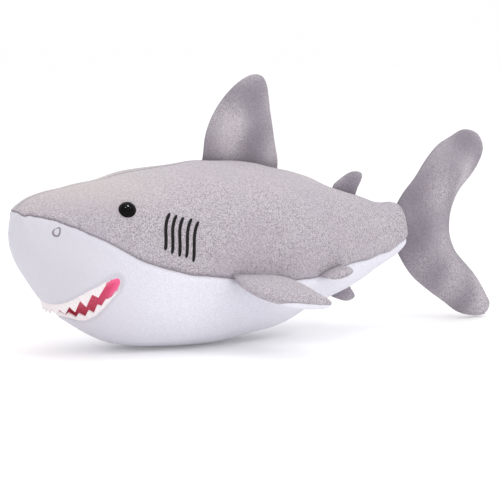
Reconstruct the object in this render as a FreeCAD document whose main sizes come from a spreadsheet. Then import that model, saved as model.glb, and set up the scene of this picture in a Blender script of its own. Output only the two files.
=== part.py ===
import FreeCAD, Part
import Sketcher
import math
import os

# A stuffed plush shark, lying on its belly with its nose towards -X and its tail fin
# towards +X. The left flank is on the -Y side. The origin is on the floor, under the
# middle of the whole toy. Sizes are in millimetres and angles in degrees.

Vector = FreeCAD.Vector
doc = FreeCAD.newDocument("plush_shark")

# Driving dimensions. A "place" is a share of the torso's length, counted from the nose,
# and a "level" is a share of the torso's height, counted from its underside.
SIZES = [
    # the torso
    ("body_length", 349),
    ("body_height", 150.5),
    ("body_width", 138),
    ("belly_sink", 1.5),
    ("fabric", 2.0),
    ("stuffing_gap", 0.4),
    # the mouth: a pocket of lining behind a crescent opening, with two rows of felt teeth
    ("lining_depth", 6.5),
    ("lining_thickness", 1.5),
    ("lining_margin", 12.0),
    ("lining_rim", 3.0),
    ("felt", 1.2),
    ("tooth_gap", 0.5),
    ("tooth_band", 3.0),
    ("upper_tooth_height", 7.5),
    ("lower_tooth_height", 3.5),
    ("tooth_pitch", 12.0),
    ("upper_teeth", 12),
    ("lower_teeth", 13),
    # the safety eyes and the washers that lock them inside the head
    ("eye_diameter", 14.0),
    ("eye_dome", 5.5),
    ("eye_place", 0.219),
    ("eye_level", 0.779),
    ("shank_diameter", 4.0),
    ("shank_length", 12.0),
    ("shank_gap", 0.2),
    ("washer_diameter", 15.0),
    ("washer_thickness", 1.5),
    ("washer_seat", 1.4),
    ("washer_hole_gap", 0.05),
    ("washer_room", 0.5),
    # embroidery
    ("gill_thread", 2.6),
    ("nostril_thread", 1.5),
    ("nostril_place", 0.0655),
    ("nostril_level", 0.689),
    ("nostril_diameter", 6.5),
    # what every fin shares
    ("fin_fabric", 1.5),
    ("fin_gap", 2.6),
    ("side_fin_gap", 3.4),
    ("fin_stuffing_gap", 0.3),
    # the fins: root chord, span from the root to the tip, and thickness
    ("dorsal_chord", 69),
    ("dorsal_span", 70),
    ("dorsal_thickness", 17),
    ("dorsal_place", 0.467),
    ("rear_dorsal_chord", 23),
    ("rear_dorsal_span", 17),
    ("rear_dorsal_thickness", 9.5),
    ("rear_dorsal_place", 0.818),
    ("anal_chord", 20),
    ("anal_span", 12),
    ("anal_thickness", 8.5),
    ("anal_place", 0.811),
    ("pectoral_chord", 58),
    ("pectoral_span", 48),
    ("pectoral_thickness", 20),
    ("pectoral_place", 0.443),
    ("pectoral_level", 0.427),
    ("pectoral_slope", -9.6),
    ("pectoral_droop", 17),
    ("pelvic_chord", 28),
    ("pelvic_span", 13),
    ("pelvic_thickness", 8.5),
    ("pelvic_place", 0.693),
    ("pelvic_level", 0.377),
    ("pelvic_slope", 13),
    ("pelvic_droop", 12),
    ("tail_reach", 99),
    ("tail_height", 166),
    ("tail_thickness", 25),
    ("tail_floor_gap", 0.8),
]

sheet = doc.addObject("Spreadsheet::Sheet", "sizes")
for row, (alias, value) in enumerate(SIZES, start=1):
    sheet.set("A%d" % row, alias)
    sheet.set("B%d" % row, str(value))
    sheet.setAlias("B%d" % row, alias)
doc.recompute()


def size(alias):
    return float(sheet.get(alias))


# Where the sheet's shares land in the toy's own frame.
NOSE_X = -(size("body_length") + size("tail_reach")) / 2
TAIL_X = NOSE_X + size("body_length")
REACH = size("body_length")


def along(place):
    return NOSE_X + place * size("body_length")


def up(level):
    return level * size("body_height") - size("belly_sink")


# The torso's stations: place, level of the back, level of the belly, and half width as
# a share of the widest half width. Each section is a superellipse.
STATIONS = [
    (0.000, 0.714, 0.608, 0.101),
    (0.009, 0.761, 0.528, 0.246),
    (0.029, 0.807, 0.415, 0.391),
    (0.069, 0.841, 0.289, 0.551),
    (0.140, 0.887, 0.143, 0.710),
    (0.226, 0.927, 0.043, 0.841),
    (0.341, 0.973, 0.003, 0.957),
    (0.470, 1.000, 0.000, 1.000),
    (0.599, 0.980, 0.050, 0.942),
    (0.728, 0.900, 0.146, 0.768),
    (0.857, 0.787, 0.259, 0.529),
    (0.957, 0.731, 0.375, 0.350),
    (1.000, 0.724, 0.409, 0.275),
]
ROUNDNESS = 2.15
SECTION_POINTS = 16
TOOTH_REACH = 0.65
THINNEST = 3.0
POLE_REACH = 3 / (2 + math.cos(2 * math.pi / SECTION_POINTS))

# The seam between the grey back and the white belly, seen from the side.
SEAM = [
    (-0.030, 0.790),
    (0.017, 0.785),
    (0.043, 0.779),
    (0.075, 0.751),
    (0.110, 0.698),
    (0.149, 0.631),
    (0.209, 0.528),
    (0.252, 0.489),
    (0.297, 0.460),
    (0.365, 0.429),
    (0.443, 0.422),
    (0.586, 0.364),
    (0.695, 0.364),
    (0.804, 0.415),
    (0.905, 0.441),
    (0.984, 0.485),
    (1.050, 0.500),
]

# The lips, seen from the side, from in front of the chin to the corner of the mouth.
UPPER_LIP = [
    (0.020, 0.279),
    (0.070, 0.284),
    (0.082, 0.290),
    (0.105, 0.338),
    (0.140, 0.381),
    (0.175, 0.428),
    (0.193, 0.430),
]
LOWER_LIP = [
    (0.020, 0.206),
    (0.069, 0.205),
    (0.112, 0.2065),
    (0.133, 0.223),
    (0.156, 0.266),
    (0.179, 0.344),
    (0.193, 0.430),
]

# The gill stitches on one flank: place and level of the upper end, then of the lower end.
GILLS = [
    (0.308, 0.760, 0.287, 0.577),
    (0.324, 0.750, 0.301, 0.555),
    (0.338, 0.739, 0.317, 0.540),
    (0.356, 0.732, 0.332, 0.533),
    (0.370, 0.715, 0.348, 0.511),
]

# Fin outlines. Each row is one section: its front point and its rear point, as shares of
# the chord along the root and of the span away from it, and its share of the thickness.
DORSAL_OUTLINE = [
    (0.000, 0.000, 1.000, 0.000, 0.50),
    (-0.005, 0.194, 0.941, 0.194, 0.85),
    (0.030, 0.390, 0.884, 0.390, 1.00),
    (0.100, 0.583, 0.829, 0.583, 0.92),
    (0.190, 0.750, 0.788, 0.750, 0.78),
    (0.305, 0.875, 0.751, 0.875, 0.60),
    (0.412, 0.951, 0.704, 0.951, 0.40),
    (0.522, 1.000, 0.645, 1.000, 0.20),
]
SMALL_OUTLINE = [
    (0.000, 0.000, 1.000, 0.000, 0.60),
    (0.060, 0.250, 1.000, 0.250, 0.90),
    (0.160, 0.500, 1.040, 0.500, 1.00),
    (0.290, 0.720, 1.060, 0.720, 0.90),
    (0.480, 0.900, 1.040, 0.900, 0.65),
    (0.680, 1.000, 0.950, 1.000, 0.30),
]
PECTORAL_OUTLINE = [
    (0.000, 0.000, 1.000, 0.000, 0.45),
    (-0.030, 0.180, 1.000, 0.180, 0.80),
    (-0.020, 0.400, 1.020, 0.380, 1.00),
    (0.040, 0.620, 1.060, 0.580, 0.95),
    (0.160, 0.800, 1.100, 0.760, 0.85),
    (0.360, 0.930, 1.140, 0.890, 0.65),
    (0.620, 0.990, 1.150, 0.960, 0.45),
    (0.850, 1.000, 1.120, 1.000, 0.22),
]
PELVIC_OUTLINE = [
    (0.000, 0.000, 1.000, 0.000, 0.55),
    (0.040, 0.300, 1.030, 0.300, 0.90),
    (0.150, 0.600, 1.060, 0.600, 1.00),
    (0.360, 0.850, 1.080, 0.820, 0.75),
    (0.620, 1.000, 1.060, 0.970, 0.35),
]

# The tail fin runs from its upper lobe to its lower lobe. Its sections' points are shares
# of its reach behind the torso and of its height.
TAIL_OUTLINE = [
    (0.788, 0.994, 0.869, 0.942, 0.25),
    (0.687, 1.000, 0.889, 0.893, 0.50),
    (0.556, 0.965, 0.838, 0.815, 0.70),
    (0.424, 0.923, 0.747, 0.745, 0.85),
    (0.303, 0.848, 0.646, 0.682, 0.95),
    (0.172, 0.760, 0.581, 0.615, 1.00),
    (0.060, 0.670, 0.550, 0.550, 1.00),
    (0.040, 0.585, 0.545, 0.495, 1.00),
    (0.038, 0.501, 0.550, 0.453, 1.00),
    (0.038, 0.417, 0.576, 0.405, 1.00),
    (0.040, 0.345, 0.616, 0.357, 1.00),
    (0.111, 0.248, 0.707, 0.297, 0.95),
    (0.263, 0.164, 0.808, 0.233, 0.90),
    (0.465, 0.083, 0.889, 0.167, 0.80),
    (0.657, 0.025, 0.955, 0.104, 0.65),
    (0.818, 0.001, 0.990, 0.055, 0.45),
    (0.899, 0.000, 0.965, 0.019, 0.20),
]


def superpower(value, exponent):
    return math.copysign(abs(value) ** exponent, value)


def closed_wire(points):
    curve = Part.BSplineCurve()
    curve.interpolate(points, PeriodicFlag=True)
    return Part.Wire([curve.toShape()])


def torso_section(x, top, bottom, half_width):
    middle = (top + bottom) / 2
    half_height = (top - bottom) / 2
    points = []
    for step in range(SECTION_POINTS):
        turn = 2 * math.pi * step / SECTION_POINTS
        y = half_width * superpower(math.sin(turn), 2 / ROUNDNESS)
        z = middle + half_height * superpower(math.cos(turn), 2 / ROUNDNESS)
        points.append(Vector(x, y, z))
    return closed_wire(points)


def torso_form(inset):
    # The torso's outer form drawn in by the inset, and flattened where it lies down.
    wires = []
    last = len(STATIONS) - 1
    for number, (place, top, bottom, width) in enumerate(STATIONS):
        x = along(place) + (inset if number == 0 else 0) - (inset if number == last else 0)
        half_width = max(width * size("body_width") / 2 - inset, THINNEST)
        wires.append(torso_section(x, up(top) - inset, up(bottom) + inset, half_width))
    form = Part.makeLoft(wires, True, False)
    corner = Vector(-REACH, -REACH, inset - REACH)
    ground = Part.makeBox(2 * REACH, 2 * REACH, REACH, corner)
    return form.cut(ground)


def feature(name, shape):
    item = doc.addObject("Part::Feature", name)
    item.Shape = shape
    item.Placement = FreeCAD.Placement()
    return item


def cut(name, base, tool):
    item = doc.addObject("Part::Cut", name)
    item.Base = base
    item.Tool = tool
    return item


def common(name, base, tool):
    item = doc.addObject("Part::Common", name)
    item.Base = base
    item.Tool = tool
    return item


def half_space(name, axis, sign):
    # A block that holds everything on one side of the plane through the origin.
    item = doc.addObject("Part::Box", name)
    for side in ("Length", "Width", "Height"):
        item.setExpression(side, "2 * sizes.body_length")
    for letter in "xyz":
        shift = 0 if letter == axis and sign > 0 else (-2 if letter == axis else -1)
        item.setExpression("Placement.Base.%s" % letter, "%d * sizes.body_length" % shift)
    return item


def across(edges):
    # A block whose outline is drawn in the side view and runs right across the toy.
    face = Part.Face(Part.Wire(Part.__sortEdges__(edges)))
    return face.extrude(Vector(0, 2 * REACH, 0))


def smooth_edge(points):
    curve = Part.BSplineCurve()
    curve.interpolate(points)
    return curve.toShape()


def line_through(corners):
    edges = []
    for start, end in zip(corners, corners[1:]):
        edges.append(Part.makeLine(start, end))
    return edges


# ---- the torso's forms -------------------------------------------------------------

def seam_block():
    seam = smooth_edge([Vector(along(place), -REACH, up(level)) for place, level in SEAM])
    first = seam.Vertexes[0].Point
    last = seam.Vertexes[-1].Point
    above = Vector(0, 0, REACH)
    return across([seam] + line_through([last, last + above, first + above, first]))


def lip_points(lip, margin):
    # The lip moved up by the margin, and back by as much at the corner of the mouth.
    points = []
    for place, level in lip:
        back = abs(margin) * place / UPPER_LIP[-1][0]
        points.append(Vector(along(place) + back, -REACH, up(level) + margin))
    return points


def mouth_block(margin):
    # The crescent between the lips, grown by the margin on every side.
    upper = lip_points(UPPER_LIP, margin)
    lower = lip_points(LOWER_LIP, -margin)
    edges = [smooth_edge(upper), smooth_edge(lower), Part.makeLine(lower[0], upper[0])]
    if margin:
        edges.append(Part.makeLine(upper[-1], lower[-1]))
    return across(edges)


outer_form = torso_form(0)
torso_side = max(outer_form.Faces, key=lambda face: face.Area)
inner_form = torso_form(size("fabric"))
grey_side = seam_block()
belly_skin = outer_form.cut(grey_side).cut(inner_form)
feature("belly_panel", belly_skin.cut(mouth_block(0)))
back_skin = feature("back_skin", outer_form.common(grey_side).cut(inner_form))
left_half = half_space("left_half", "y", -1)
right_half = half_space("right_half", "y", 1)


# ---- points on the torso's surface -------------------------------------------------

def surface_point(start, direction):
    # Where a line from inside the torso leaves its surface.
    ray = Part.LineSegment(start, start + direction * REACH)
    crossings = ray.intersectCS(torso_side.Surface)[0]
    ends = [Vector(point.X, point.Y, point.Z) for point in crossings]
    return max(ends, key=lambda point: (point - start).dot(direction))


def side_point(place, level, side):
    return surface_point(Vector(along(place), 0, up(level)), Vector(0, side, 0))


def ridge_point(place, side):
    # The middle of the back (side +1) or of the belly (side -1).
    levels = [station[1:3] for station in STATIONS]
    places = [station[0] for station in STATIONS]
    after = next(number for number, value in enumerate(places) if value >= place)
    middle = sum(levels[after]) / 2
    return surface_point(Vector(along(place), 0, up(middle)), Vector(0, 0, side))


def surface_normal(point):
    u, v = torso_side.Surface.parameter(point)
    return torso_side.normalAt(u, v)


def frame(origin, x_axis, y_axis):
    # A placement whose local X runs along x_axis and whose local Y leans to y_axis.
    x_unit = Vector(x_axis).normalize()
    y_unit = (y_axis - x_unit * y_axis.dot(x_unit)).normalize()
    rotation = FreeCAD.Rotation(x_unit, y_unit, x_unit.cross(y_unit), "XYZ")
    return FreeCAD.Placement(origin, rotation)


# ---- safety eyes, their washers, and the holes they need ---------------------------

def evaluate(expression):
    value = sheet.evalExpression(expression)
    return float(getattr(value, "Value", value))


def origin_plane(body, role):
    for item in body.Origin.OriginFeatures:
        if item.Role == role:
            return item


def bind_corners(sketch, corners):
    # Each corner of the profile is pinned to its expressions; "0" lies on an axis.
    lines = len(corners) - 1
    for number, corner in enumerate(corners):
        line, end = (number, 1) if number < lines else (lines - 1, 2)
        for kind, axis, expression in (("DistanceX", -2, corner[0]), ("DistanceY", -1, corner[1])):
            if expression == "0":
                sketch.addConstraint(Sketcher.Constraint("PointOnObject", line, end, axis))
                continue
            datum = Sketcher.Constraint(kind, -1, 1, line, end, evaluate(expression))
            index = sketch.addConstraint(datum)
            sketch.setExpression("Constraints[%d]" % index, expression)


def turned_body(name, corners, domed):
    # A turned piece from its half profile of (radius, height) corners. The last corner
    # is joined to the first by a straight line, or by a dome centred on the axis.
    body = doc.addObject("PartDesign::Body", name)
    sketch = body.newObject("Sketcher::SketchObject", name + "_profile")
    sketch.AttachmentSupport = [(origin_plane(body, "XZ_Plane"), "")]
    sketch.MapMode = "FlatFace"
    spots = [Vector(evaluate(radius), evaluate(height), 0) for radius, height in corners]
    lines = len(spots) - 1
    for start, end in zip(spots, spots[1:]):
        sketch.addGeometry(Part.LineSegment(start, end))
    if domed:
        rim = spots[-1].x
        rise = spots[0].y
        ball = (rim * rim + rise * rise) / (2 * rise)
        circle = Part.Circle(Vector(0, rise - ball, 0), Vector(0, 0, 1), ball)
        sketch.addGeometry(Part.ArcOfCircle(circle, math.atan2(ball - rise, rim), math.pi / 2))
        sketch.addConstraint(Sketcher.Constraint("PointOnObject", lines, 3, -2))
    else:
        sketch.addGeometry(Part.LineSegment(spots[-1], spots[0]))
    for number in range(lines):
        sketch.addConstraint(Sketcher.Constraint("Coincident", number, 2, number + 1, 1))
    sketch.addConstraint(Sketcher.Constraint("Coincident", lines, 2, 0, 1))
    bind_corners(sketch, corners)
    turn = body.newObject("PartDesign::Revolution", name + "_turn")
    turn.Profile = sketch
    turn.ReferenceAxis = (sketch, ["V_Axis"])
    turn.Angle = 360
    return body


def well(name, radius, depth, placement):
    # A round cutter that runs inwards from the foot of the eye.
    tool = doc.addObject("Part::Cylinder", name)
    tool.setExpression("Radius", radius)
    tool.setExpression("Height", "2 * (%s)" % depth)
    sunk = placement.multVec(Vector(0, 0, -evaluate(depth)))
    tool.Placement = FreeCAD.Placement(sunk, placement.Rotation)
    return tool


EYE_PROFILE = [
    ("0", "sizes.eye_dome"),
    ("0", "-sizes.shank_length"),
    ("sizes.shank_diameter / 2", "-sizes.shank_length"),
    ("sizes.shank_diameter / 2", "0"),
    ("sizes.eye_diameter / 2", "0"),
]
WASHER_BORE = "sizes.shank_diameter / 2 + sizes.washer_hole_gap"
WASHER_FACE = "-(sizes.fabric + sizes.washer_seat)"
WASHER_BACK = "-(sizes.fabric + sizes.washer_seat + sizes.washer_thickness)"
WASHER_PROFILE = [
    (WASHER_BORE, WASHER_FACE),
    (WASHER_BORE, WASHER_BACK),
    ("sizes.washer_diameter / 2", WASHER_BACK),
    ("sizes.washer_diameter / 2", WASHER_FACE),
]
SIDES = (("left", -1, left_half), ("right", 1, right_half))

wells = []
for side_name, side, half in SIDES:
    spot = side_point(size("eye_place"), size("eye_level"), side)
    rotation = FreeCAD.Rotation(Vector(0, 0, 1), surface_normal(spot))
    seat = FreeCAD.Placement(spot, rotation)
    eye = turned_body("eye_" + side_name, EYE_PROFILE, True)
    eye.Placement = seat
    washer = turned_body("eye_washer_" + side_name, WASHER_PROFILE, False)
    washer.Placement = seat
    hole = well("shank_hole_" + side_name, "sizes.shank_diameter / 2 + sizes.shank_gap",
                "sizes.shank_length", seat)
    side_skin = common("back_skin_" + side_name, back_skin, half)
    cut("back_panel_" + side_name, side_skin, hole)
    wells.append(well("eye_well_" + side_name, "sizes.washer_diameter / 2 + sizes.washer_room",
                      "sizes.shank_length + sizes.washer_room", seat))


# ---- the mouth's lining and teeth, and the stuffing that fills the torso ------------

def behind_lips(margin, depth):
    # What lies within the margin of the mouth and no deeper under the skin than depth.
    return mouth_block(margin).cut(torso_form(depth))


margin = size("lining_margin")
gap = size("stuffing_gap")
pocket_floor = size("fabric") + size("lining_depth")
pocket_back = pocket_floor + size("lining_thickness")
pocket = behind_lips(margin - size("lining_rim"), pocket_floor)
lining = inner_form.common(behind_lips(margin, pocket_back)).cut(pocket)
feature("mouth_lining", lining)

stuffing_form = torso_form(size("fabric") + gap)
filling = stuffing_form.cut(behind_lips(margin + gap, pocket_back + gap))
face_stuffing = feature("face_stuffing", filling)
cut("body_stuffing", cut("left_well_cut", face_stuffing, wells[0]), wells[1])


def lip_level(lip, place):
    for (start, low), (end, high) in zip(lip, lip[1:]):
        if place <= end:
            return low + (high - low) * max(place - start, 0) / (end - start)
    return lip[-1][1]


def mouth_ray(level, swing):
    # A point on the skin, swung round the head from straight ahead by the given angle.
    start = Vector(along(UPPER_LIP[-1][0]), 0, up(level))
    turn = math.radians(swing)
    return surface_point(start, Vector(-math.cos(turn), math.sin(turn), 0))


def lip_spot(lip, swing, rise):
    # The point under the skin, beside the lip, where the felt lies.
    level = lip[0][1]
    for attempt in range(3):
        place = (mouth_ray(level, swing).x - NOSE_X) / size("body_length")
        level = lip_level(lip, place)
    skin = mouth_ray(level + rise / size("body_height"), swing)
    return skin - surface_normal(skin) * (size("fabric") + size("tooth_gap"))


def teeth(name, lip, count, height, way):
    # One strip of felt: flat triangles that overlap at their wide ends.
    pitch = size("tooth_pitch")
    band = size("tooth_band")
    pieces = []
    for number in range(count):
        swing = pitch * (number - (count - 1) / 2)
        corners = [
            lip_spot(lip, swing - TOOTH_REACH * pitch, -way * band),
            lip_spot(lip, swing + TOOTH_REACH * pitch, -way * band),
            lip_spot(lip, swing, way * height),
        ]
        face = Part.Face(Part.makePolygon(corners + corners[:1]))
        inwards = (corners[1] - corners[0]).cross(corners[2] - corners[0]).normalize()
        if inwards.dot(Vector(along(0.5), 0, up(0.5)) - corners[0]) < 0:
            inwards = -inwards
        pieces.append(face.extrude(inwards * size("felt")))
    return feature(name, pieces[0].multiFuse(pieces[1:]))


teeth("upper_teeth", UPPER_LIP, int(size("upper_teeth")), size("upper_tooth_height"), -1)
teeth("lower_teeth", LOWER_LIP, int(size("lower_teeth")), size("lower_tooth_height"), 1)


# ---- embroidery on the skin --------------------------------------------------------

def thread(path, thickness):
    # A round bar of stitches along a path on the skin, less what lies under the skin.
    start = path.valueAt(path.FirstParameter)
    heading = path.tangentAt(path.FirstParameter)
    ring = Part.Wire(Part.makeCircle(thickness / 2, start, heading))
    bar = Part.Wire(path).makePipeShell([ring], True, True)
    return bar.cut(outer_form)


def gill_path(gill, side):
    top_place, top_level, low_place, low_level = gill
    points = []
    for share in (0, 0.5, 1):
        bow = 0.008 * share * (1 - share)
        place = top_place + share * (low_place - top_place) - bow
        level = top_level + share * (low_level - top_level)
        points.append(side_point(place, level, side))
    return smooth_edge(points)


def nostril_ring(side):
    spot = side_point(size("nostril_place"), size("nostril_level"), side)
    ring = Part.makeTorus(size("nostril_diameter") / 2, size("nostril_thread") / 2,
                          spot, surface_normal(spot))
    return ring.cut(outer_form)


for side_name, side, half in SIDES:
    stitches = [thread(gill_path(gill, side), size("gill_thread")) for gill in GILLS]
    feature("gill_stitches_" + side_name, Part.makeCompound(stitches))
    feature("nostril_stitch_" + side_name, nostril_ring(side))


# ---- fins --------------------------------------------------------------------------

def drawn_in_outline(corners, inset):
    # Every corner of a closed outline moved inwards, square to the two sides it joins.
    moved = []
    count = len(corners)
    for number, corner in enumerate(corners):
        before = (corner - corners[number - 1]).normalize()
        after = (corners[(number + 1) % count] - corner).normalize()
        inwards = (before + after).normalize().cross(Vector(0, 0, 1)) * -1
        square = max(inwards.dot(before.cross(Vector(0, 0, 1)) * -1), 0.5)
        moved.append(corner + inwards * (inset / square))
    return moved


def drawn_in_thickness(half_thickness, inset):
    # Less the inset, easing off where the fin is thinner than four times the inset.
    if half_thickness < 2 * inset:
        return half_thickness * half_thickness / (4 * inset)
    return half_thickness - inset


def fin_ring(front, rear, half_thickness):
    # The poles of an oval across the fin, from its front edge to its rear edge.
    middle = (front + rear) / 2
    half_chord = (rear - front) / 2
    poles = []
    for step in range(SECTION_POINTS):
        turn = 2 * math.pi * step / SECTION_POINTS
        swell = Vector(0, 0, half_thickness * math.sin(turn))
        poles.append(middle + (half_chord * math.cos(turn) + swell) * POLE_REACH)
    return poles


def skinned(rings):
    # A closed solid whose side is one smooth surface drawn by rings of poles.
    spans = len(rings) - 3
    surface = Part.BSplineSurface()
    surface.buildFromPolesMultsKnots(
        [list(line) for line in zip(*rings)],
        [1] * (SECTION_POINTS + 1), [4] + [1] * (spans - 1) + [4],
        list(range(SECTION_POINTS + 1)), list(range(spans + 1)), True, False, 3, 3)
    side = surface.toShape()
    ends = [Part.Face(Part.Wire([edge])) for edge in side.Edges if edge.isClosed()]
    shell = Part.makeShell([side] + ends)
    shell.sewShape()
    solid = Part.makeSolid(shell)
    if solid.Volume < 0:
        solid.reverse()
    return solid


def fin_form(outline, chord, span, thickness, inset):
    # The fin's form drawn in by the inset, with its chord along X and its span along Y.
    fronts = [Vector(row[0] * chord, row[1] * span, 0) for row in outline]
    rears = [Vector(row[2] * chord, row[3] * span, 0) for row in outline]
    turning = (rears[0] - fronts[0]).cross(fronts[1] - fronts[0]).z
    corners = rears + fronts[::-1]
    if turning < 0:
        corners = corners[::-1]
    corners = drawn_in_outline(corners, inset)
    if turning < 0:
        corners = corners[::-1]
    count = len(outline)
    rings = []
    for row, rear, front in zip(outline, corners[:count], corners[:count - 1:-1]):
        half_thickness = row[4] * thickness / 2
        if inset:
            half_thickness = drawn_in_thickness(half_thickness, inset)
        rings.append(fin_ring(front, rear, half_thickness))
    return skinned(rings)


def root_frame(start, end, outward, gap):
    # The fin's root line, from start to end, moved outwards until it clears the torso.
    chord = end - start
    heading = Vector(chord).normalize()
    away = (outward - heading * outward.dot(heading)).normalize()
    bulge = 0
    for share in (0.25, 0.5, 0.75):
        base = start + chord * share
        skin = surface_point(base - away * gap * 4, away)
        bulge = max(bulge, (skin - base).dot(away))
    return frame(start + away * (bulge + gap), heading, away)


near_half = half_space("fin_half_over", "z", 1)
far_half = half_space("fin_half_under", "z", -1)


def fin(name, kind, outline, placement, over, under):
    # Two panels sewn edge to edge round a core of stuffing.
    chord = size(kind + ("_reach" if kind == "tail" else "_chord"))
    span = size(kind + ("_height" if kind == "tail" else "_span"))
    thickness = size(kind + "_thickness")
    fabric = size("fin_fabric")
    form = feature(name + "_form", fin_form(outline, chord, span, thickness, 0))
    core = feature(name + "_core", fin_form(outline, chord, span, thickness, fabric))
    skin = cut(name + "_skin", form, core)
    for label, half in ((over, near_half), (under, far_half)):
        panel = common("%s_%s" % (name, label), skin, half)
        panel.Placement = placement
        nodes.append(panel.Name)
    inset = fabric + size("fin_stuffing_gap")
    filling = feature(name + "_stuffing", fin_form(outline, chord, span, thickness, inset))
    filling.Placement = placement
    nodes.append(filling.Name)


def ridge_frame(kind, side):
    start = ridge_point(size(kind + "_place"), side)
    rear_place = size(kind + "_place") + size(kind + "_chord") / size("body_length")
    end = ridge_point(rear_place, side)
    return root_frame(start, end, Vector(0, 0, side), size("fin_gap"))


def flank_frame(kind, side):
    slope = math.radians(size(kind + "_slope"))
    droop = math.radians(size(kind + "_droop"))
    chord = size(kind + "_chord")
    place = size(kind + "_place")
    level = size(kind + "_level")
    start = side_point(place, level, side)
    rear_place = place + chord * math.cos(slope) / size("body_length")
    rear_level = level + chord * math.sin(slope) / size("body_height")
    end = side_point(rear_place, rear_level, side)
    outward = Vector(0, side * math.cos(droop), -math.sin(droop))
    return root_frame(start, end, outward, size("side_fin_gap"))


nodes = [
    "back_panel_left", "back_panel_right", "belly_panel", "mouth_lining", "upper_teeth",
    "lower_teeth", "eye_left", "eye_right", "eye_washer_left", "eye_washer_right",
    "gill_stitches_left", "gill_stitches_right", "nostril_stitch_left",
    "nostril_stitch_right", "body_stuffing",
]
fin("dorsal_fin", "dorsal", DORSAL_OUTLINE, ridge_frame("dorsal", 1), "left", "right")
fin("rear_dorsal_fin", "rear_dorsal", SMALL_OUTLINE, ridge_frame("rear_dorsal", 1),
    "left", "right")
fin("anal_fin", "anal", SMALL_OUTLINE, ridge_frame("anal", -1), "right", "left")
for side_name, side, half in SIDES:
    over, under = ("underside", "top") if side < 0 else ("top", "underside")
    fin("pectoral_fin_" + side_name, "pectoral", PECTORAL_OUTLINE,
        flank_frame("pectoral", side), over, under)
    fin("pelvic_fin_" + side_name, "pelvic", PELVIC_OUTLINE,
        flank_frame("pelvic", side), over, under)
tail_root = Vector(TAIL_X, 0, size("tail_floor_gap"))
fin("tail_fin", "tail", TAIL_OUTLINE, frame(tail_root, Vector(1, 0, 0), Vector(0, 0, 1)),
    "left", "right")


# ---- check and write ---------------------------------------------------------------

doc.recompute()
for item in doc.Objects:
    if "Invalid" in item.State or "Error" in item.State:
        raise RuntimeError("%s failed: %s" % (item.Label, item.State))
os.makedirs("parts", exist_ok=True)
for name in nodes:
    shape = doc.getObject(name).Shape
    if shape.isNull() or not shape.isValid() or not shape.Solids:
        raise RuntimeError("%s has no sound solid" % name)
for name in nodes:
    shape = doc.getObject(name).Shape
    shape.exportStep("parts/%s.step" % name)
    low = shape.BoundBox
    print("%-28s solids %d  volume %9.0f  x %7.1f %7.1f  y %7.1f %7.1f  z %7.1f %7.1f" % (
        name, len(shape.Solids), shape.Volume, low.XMin, low.XMax, low.YMin, low.YMax,
        low.ZMin, low.ZMax))
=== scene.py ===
import math

import bmesh
import bpy
import numpy as np
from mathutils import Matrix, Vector


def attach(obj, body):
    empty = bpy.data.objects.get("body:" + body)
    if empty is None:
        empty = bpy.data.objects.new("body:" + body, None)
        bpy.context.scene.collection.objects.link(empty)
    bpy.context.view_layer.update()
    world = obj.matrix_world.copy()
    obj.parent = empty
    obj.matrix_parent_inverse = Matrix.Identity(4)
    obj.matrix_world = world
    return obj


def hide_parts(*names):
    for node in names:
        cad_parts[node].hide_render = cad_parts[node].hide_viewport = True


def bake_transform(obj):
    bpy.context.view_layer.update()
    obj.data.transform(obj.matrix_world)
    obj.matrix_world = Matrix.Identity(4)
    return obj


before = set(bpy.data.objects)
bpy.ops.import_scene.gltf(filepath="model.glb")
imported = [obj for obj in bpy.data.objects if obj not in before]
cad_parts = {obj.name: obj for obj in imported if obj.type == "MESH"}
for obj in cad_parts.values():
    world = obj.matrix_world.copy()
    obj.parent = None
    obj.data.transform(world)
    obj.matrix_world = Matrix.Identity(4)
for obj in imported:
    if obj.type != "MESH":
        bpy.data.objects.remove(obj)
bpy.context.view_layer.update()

# Shapes are worked out in millimetres, in the toy's own frame: the nose towards -X, the
# left flank on -Y, the floor at Z = 0. add_piece() turns them into metres.
MM = 0.001

# Rings of the torso from the nose to the tail: x, top, bottom, half width.
RINGS = np.array([
    (-226.2, 98.5, 97.5, 0.5), (-225.4, 108.5, 88, 9), (-222.3, 116.5, 76.5, 18),
    (-214.5, 122.3, 61, 27.8), (-200, 128, 42, 38), (-175, 134.3, 20, 49),
    (-145, 139.5, 5, 58), (-105, 145.2, -1, 66),
    (-60, 149, -1.5, 69), (-15, 146, 6, 65), (30, 134, 20.5, 53), (75, 117, 37.5, 36.5),
    (110, 108.5, 55, 24), (123.5, 107.3, 60, 19.5), (126, 105.3, 62, 17.6),
    (126.9, 99.5, 67.5, 12), (126.6, 84.0, 83.0, 0.5)])
ROUNDNESS = 2.15
FLOOR_EASE = 1.2

# The seam between the grey back and the white belly: x, |y|, z.
SEAM_START_X = -223.6
SEAM = np.array([
    (-222.6, 9, 114.1), (-217.4, 18.2, 113.6), (-210.2, 25.3, 111.9), (-202.4, 30.8, 109.9),
    (-194.8, 36.1, 106.5), (-186.7, 40.7, 103), (-178.8, 44.8, 98.8), (-170.3, 48.7, 94.5),
    (-162, 52.1, 89.9), (-152, 55.7, 83.5), (-140.1, 59.1, 76.6), (-127.9, 62, 72.1),
    (-115.4, 64.3, 68.2), (-102.5, 66.1, 64.5), (-89.4, 67.3, 62.7), (-72, 68, 60),
    (-19.5, 63.1, 53.2), (-4, 59.7, 53.4), (18.5, 53, 53.4), (35.5, 48.1, 56.5),
    (56.5, 41.5, 61), (78, 33.1, 62.4), (92, 27.8, 64.9), (111.5, 20.6, 68.1),
    (119.5, 19.3, 72.7)])

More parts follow.
